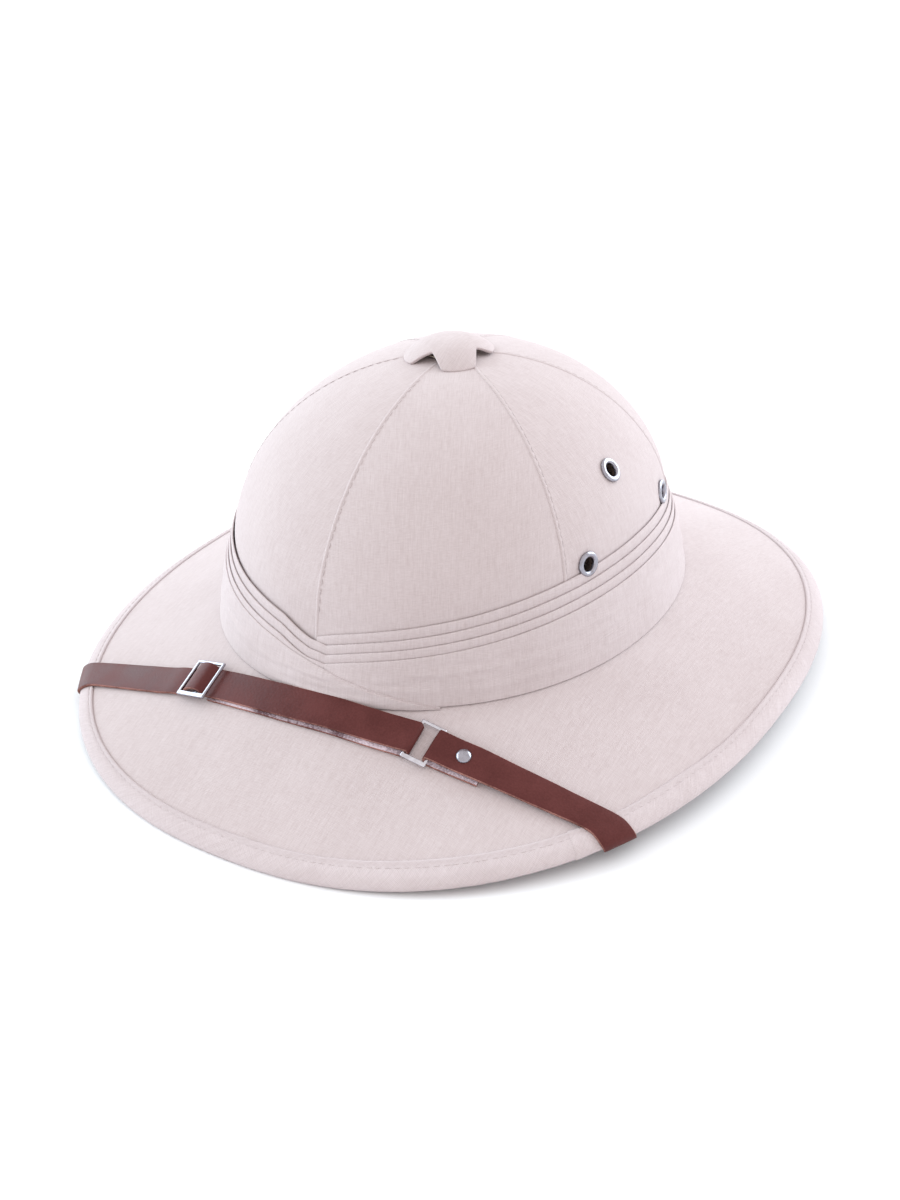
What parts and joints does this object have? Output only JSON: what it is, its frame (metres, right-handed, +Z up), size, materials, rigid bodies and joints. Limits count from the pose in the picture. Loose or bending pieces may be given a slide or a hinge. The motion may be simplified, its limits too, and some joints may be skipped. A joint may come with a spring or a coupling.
{
  "type": "pith helmet with chin strap",
  "caption": "Cloth-covered pith helmet with a pleated band, bound sloping brim, vent cap, side eyelets and a leather chin strap laid over the brim.",
  "frame": {"origin": "centre of the bounding box in plan, at the height of the table that the rim stands on", "axes": "+Z up through the crown, -Y towards the front that the wearer faces, +X to the left hand of the wearer, which is the right side seen from the front"},
  "size_m": [0.294, 0.341, 0.1404],
  "materials": {
    "cotton_cover": "matt fine plain-woven cotton",
    "cotton_band": "matt folded fine cotton",
    "strap_leather": "smooth satin leather with raw edges",
    "nickel": "bright nickel plate, slightly worn",
    "collar_metal": "dull pale metal"
  },
  "bodies": {
    "root": {"brim": "cotton_cover", "brim_binding": "cotton_cover", "crown_gore_front_right": "cotton_cover", "crown_gore_right": "cotton_cover", "crown_gore_back_right": "cotton_cover", "crown_gore_back_left": "cotton_cover", "crown_gore_left": "cotton_cover", "crown_gore_front_left": "cotton_cover", "band_pleat_1": "cotton_band", "band_pleat_2": "cotton_band", "band_pleat_3": "cotton_band", "band_wide_fold": "cotton_band", "vent_collar": "collar_metal", "vent_cap": "cotton_cover", "eyelet_right_upper": "nickel", "eyelet_right_front": "nickel", "eyelet_right_rear": "nickel", "eyelet_left_upper": "nickel", "eyelet_left_front": "nickel", "eyelet_left_rear": "nickel", "strap_long": "strap_leather", "strap_short": "strap_leather", "strap_slider": "nickel", "strap_ring": "nickel", "strap_rivet": "nickel", "strap_stud_right": "nickel", "strap_stud_left": "nickel"}
  },
  "joints": []
}
